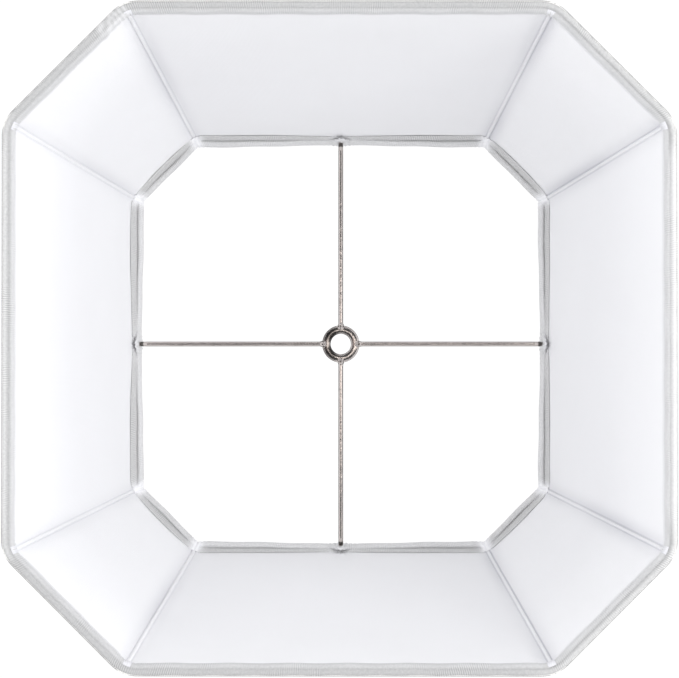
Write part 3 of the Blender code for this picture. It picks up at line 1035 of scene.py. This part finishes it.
def add_world():
    """Plain white to the camera, a soft white as light, and a dim room in reflections."""
    world = bpy.data.worlds.new("studio")
    world.use_nodes = True
    tree = world.node_tree
    tree.nodes.clear()
    seen, felt, mirrored = (
        add_node(tree, "ShaderNodeBackground", {"Color": (*tint, 1), "Strength": strength})
        for tint, strength in (((1, 1, 1), 1.05), ((0.985, 0.99, 1), 0.83), ((0.95, 0.97, 1), 0.12))
    )
    is_camera = add_node(tree, "ShaderNodeLightPath", out="Is Camera Ray")
    is_mirror = add_node(tree, "ShaderNodeLightPath", out="Is Glossy Ray")
    light = add_node(tree, "ShaderNodeMixShader", {0: is_mirror, 1: felt, 2: mirrored})
    mix = add_node(tree, "ShaderNodeMixShader", {0: is_camera, 1: light, 2: seen})
    output = tree.nodes.new("ShaderNodeOutputWorld")
    tree.links.new(mix, output.inputs["Surface"])
    bpy.context.scene.world = world


def add_floor(material):
    """A wide pale floor, well below the shade and the camera, as under a hung shade."""
    half, drop = 6.0, -1.5
    corners = [(-half, -half, drop), (half, -half, drop), (half, half, drop), (-half, half, drop)]
    mesh = bpy.data.meshes.new("floor")
    mesh.from_pydata(corners, [], [(0, 1, 2, 3)])
    mesh.materials.append(material)
    floor = bpy.data.objects.new("floor", mesh)
    floor.visible_glossy = False
    bpy.context.scene.collection.objects.link(floor)


# ---------------------------------------------------------------- operators


class LAMPSHADE_OT_lining(bpy.types.Operator):
    """Add the eight stretched lining panels, seen from inside"""

    bl_idname = "lampshade.lining"
    bl_label = "Lining"

    def execute(self, context):
        sizes, material = context.scene.shade_sizes, finish(acetate_lining, context)
        for side in range(SIDES):
            add_panel("lining", side, sizes, material, "lining_cloth")
        return {"FINISHED"}


class LAMPSHADE_OT_cover(bpy.types.Operator):
    """Add the eight outer cloth panels"""

    bl_idname = "lampshade.cover"
    bl_label = "Cover"

    def execute(self, context):
        sizes, material = context.scene.shade_sizes, finish(cotton_shade_cloth, context)
        for side in range(SIDES):
            add_panel("cover", side, sizes, material, "cover_cloth")
        return {"FINISHED"}


class LAMPSHADE_OT_bindings(bpy.types.Operator):
    """Add the rolled bindings of the top and bottom rings"""

    bl_idname = "lampshade.bindings"
    bl_label = "Bindings"

    def execute(self, context):
        sizes, tape = context.scene.shade_sizes, finish(grosgrain_tape, context)
        lining = finish(acetate_lining, context)
        top_binding(sizes, tape, lining)
        bottom_binding(sizes, tape, lining)
        return {"FINISHED"}


class LAMPSHADE_OT_spider(bpy.types.Operator):
    """Add the nickel-plated washer and its four arms"""

    bl_idname = "lampshade.spider"
    bl_label = "Spider"

    def execute(self, context):
        material = finish(bright_nickel, context)
        add_washer(material)
        for number in range(1, 5):
            add_arm(number, material)
        return {"FINISHED"}


class LAMPSHADE_OT_frame_wires(bpy.types.Operator):
    """Finish the rings and ribs, which stay as the CAD made them"""

    bl_idname = "lampshade.frame_wires"
    bl_label = "Frame wires"

    def execute(self, context):
        material = finish(zinc_wire, context)
        for name, node in frame["nodes"].items():
            if name.startswith("rib_wire") or name.endswith("ring_wire"):
                node.data.materials.clear()
                node.data.materials.append(material)
        return {"FINISHED"}


LAMP_AIM = (0, 0, 0.1)

# name, place, size, watts and tint of each lamp
LAMPS = (
    ("right_low_lamp", (-0.9, 0.05, -1.2), (0.8, 0.8), 11.8, (1, 1, 1)),
    ("left_low_lamp", (0.9, 0.05, -1.2), (0.8, 0.8), 6.4, (1, 1, 1)),
    ("right_side_lamp", (-1.5, 0.0, -0.3), (0.5, 0.5), 4, (1, 1, 1)),
    ("left_side_lamp", (1.5, 0.0, -0.3), (0.5, 0.5), 3, (1, 1, 1)),
    ("front_lamp", (-0.6, -2.2, 0.7), (1.5, 1.5), 4, (1, 1, 1)),
    ("middle_strip", (-0.04, 0.0, -1.3), (0.1, 1.8), 0.36, (1, 0.8, 0.77)),
    ("top_strip", (0.0, 0.0, 1.9), (2.4, 2.4), 10, (1, 1, 1)),
    ("right_strip", (-0.38, 0.0, -1.25), (0.2, 0.9), 1.2, (1, 0.97, 0.93)),
)


class LAMPSHADE_OT_studio(bpy.types.Operator):
    """Set up the floor, the soft lamps, the white surround and the camera"""

    bl_idname = "lampshade.studio"
    bl_label = "Studio"

    def execute(self, context):
        add_floor(finish(studio_paint, context))
        add_world()
        for name, place, size, power, tint in LAMPS:
            add_lamp(name, place, LAMP_AIM, size, power, tint)
        add_camera()
        context.scene.view_settings.view_transform = "Standard"
        return {"FINISHED"}


class LAMPSHADE_PT_panel(bpy.types.Panel):
    """Lists the pieces of the lampshade with their sizes and colours"""

    bl_idname = "LAMPSHADE_PT_panel"
    bl_label = "Soft Lampshade"
    bl_space_type = "VIEW_3D"
    bl_region_type = "UI"
    bl_category = "Lampshade"

    def draw(self, context):
        for group in (context.scene.shade_sizes, context.scene.shade_colours):
            box = self.layout.box()
            for name in group.__annotations__:
                box.prop(group, name)
        for operator in OPERATORS:
            self.layout.operator(operator.bl_idname)


OPERATORS = (
    LAMPSHADE_OT_lining,
    LAMPSHADE_OT_cover,
    LAMPSHADE_OT_bindings,
    LAMPSHADE_OT_spider,
    LAMPSHADE_OT_frame_wires,
    LAMPSHADE_OT_studio,
)
CLASSES = (ShadeSizes, ShadeColours, *OPERATORS, LAMPSHADE_PT_panel)


def register():
    """Adds the classes to Blender, and the sizes and colours to its scenes."""
    for each in CLASSES:
        bpy.utils.register_class(each)
    bpy.types.Scene.shade_sizes = bpy.props.PointerProperty(type=ShadeSizes)
    bpy.types.Scene.shade_colours = bpy.props.PointerProperty(type=ShadeColours)


def unregister():
    """Takes them out again, in the opposite order."""
    del bpy.types.Scene.shade_colours
    del bpy.types.Scene.shade_sizes
    for each in reversed(CLASSES):
        bpy.utils.unregister_class(each)


def main():
    """Builds every piece in order."""
    register()
    bpy.ops.lampshade.lining()
    bpy.ops.lampshade.cover()
    bpy.ops.lampshade.bindings()
    bpy.ops.lampshade.spider()
    bpy.ops.lampshade.frame_wires()
    bpy.ops.lampshade.studio()
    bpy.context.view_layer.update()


if __name__ == "__main__":
    main()
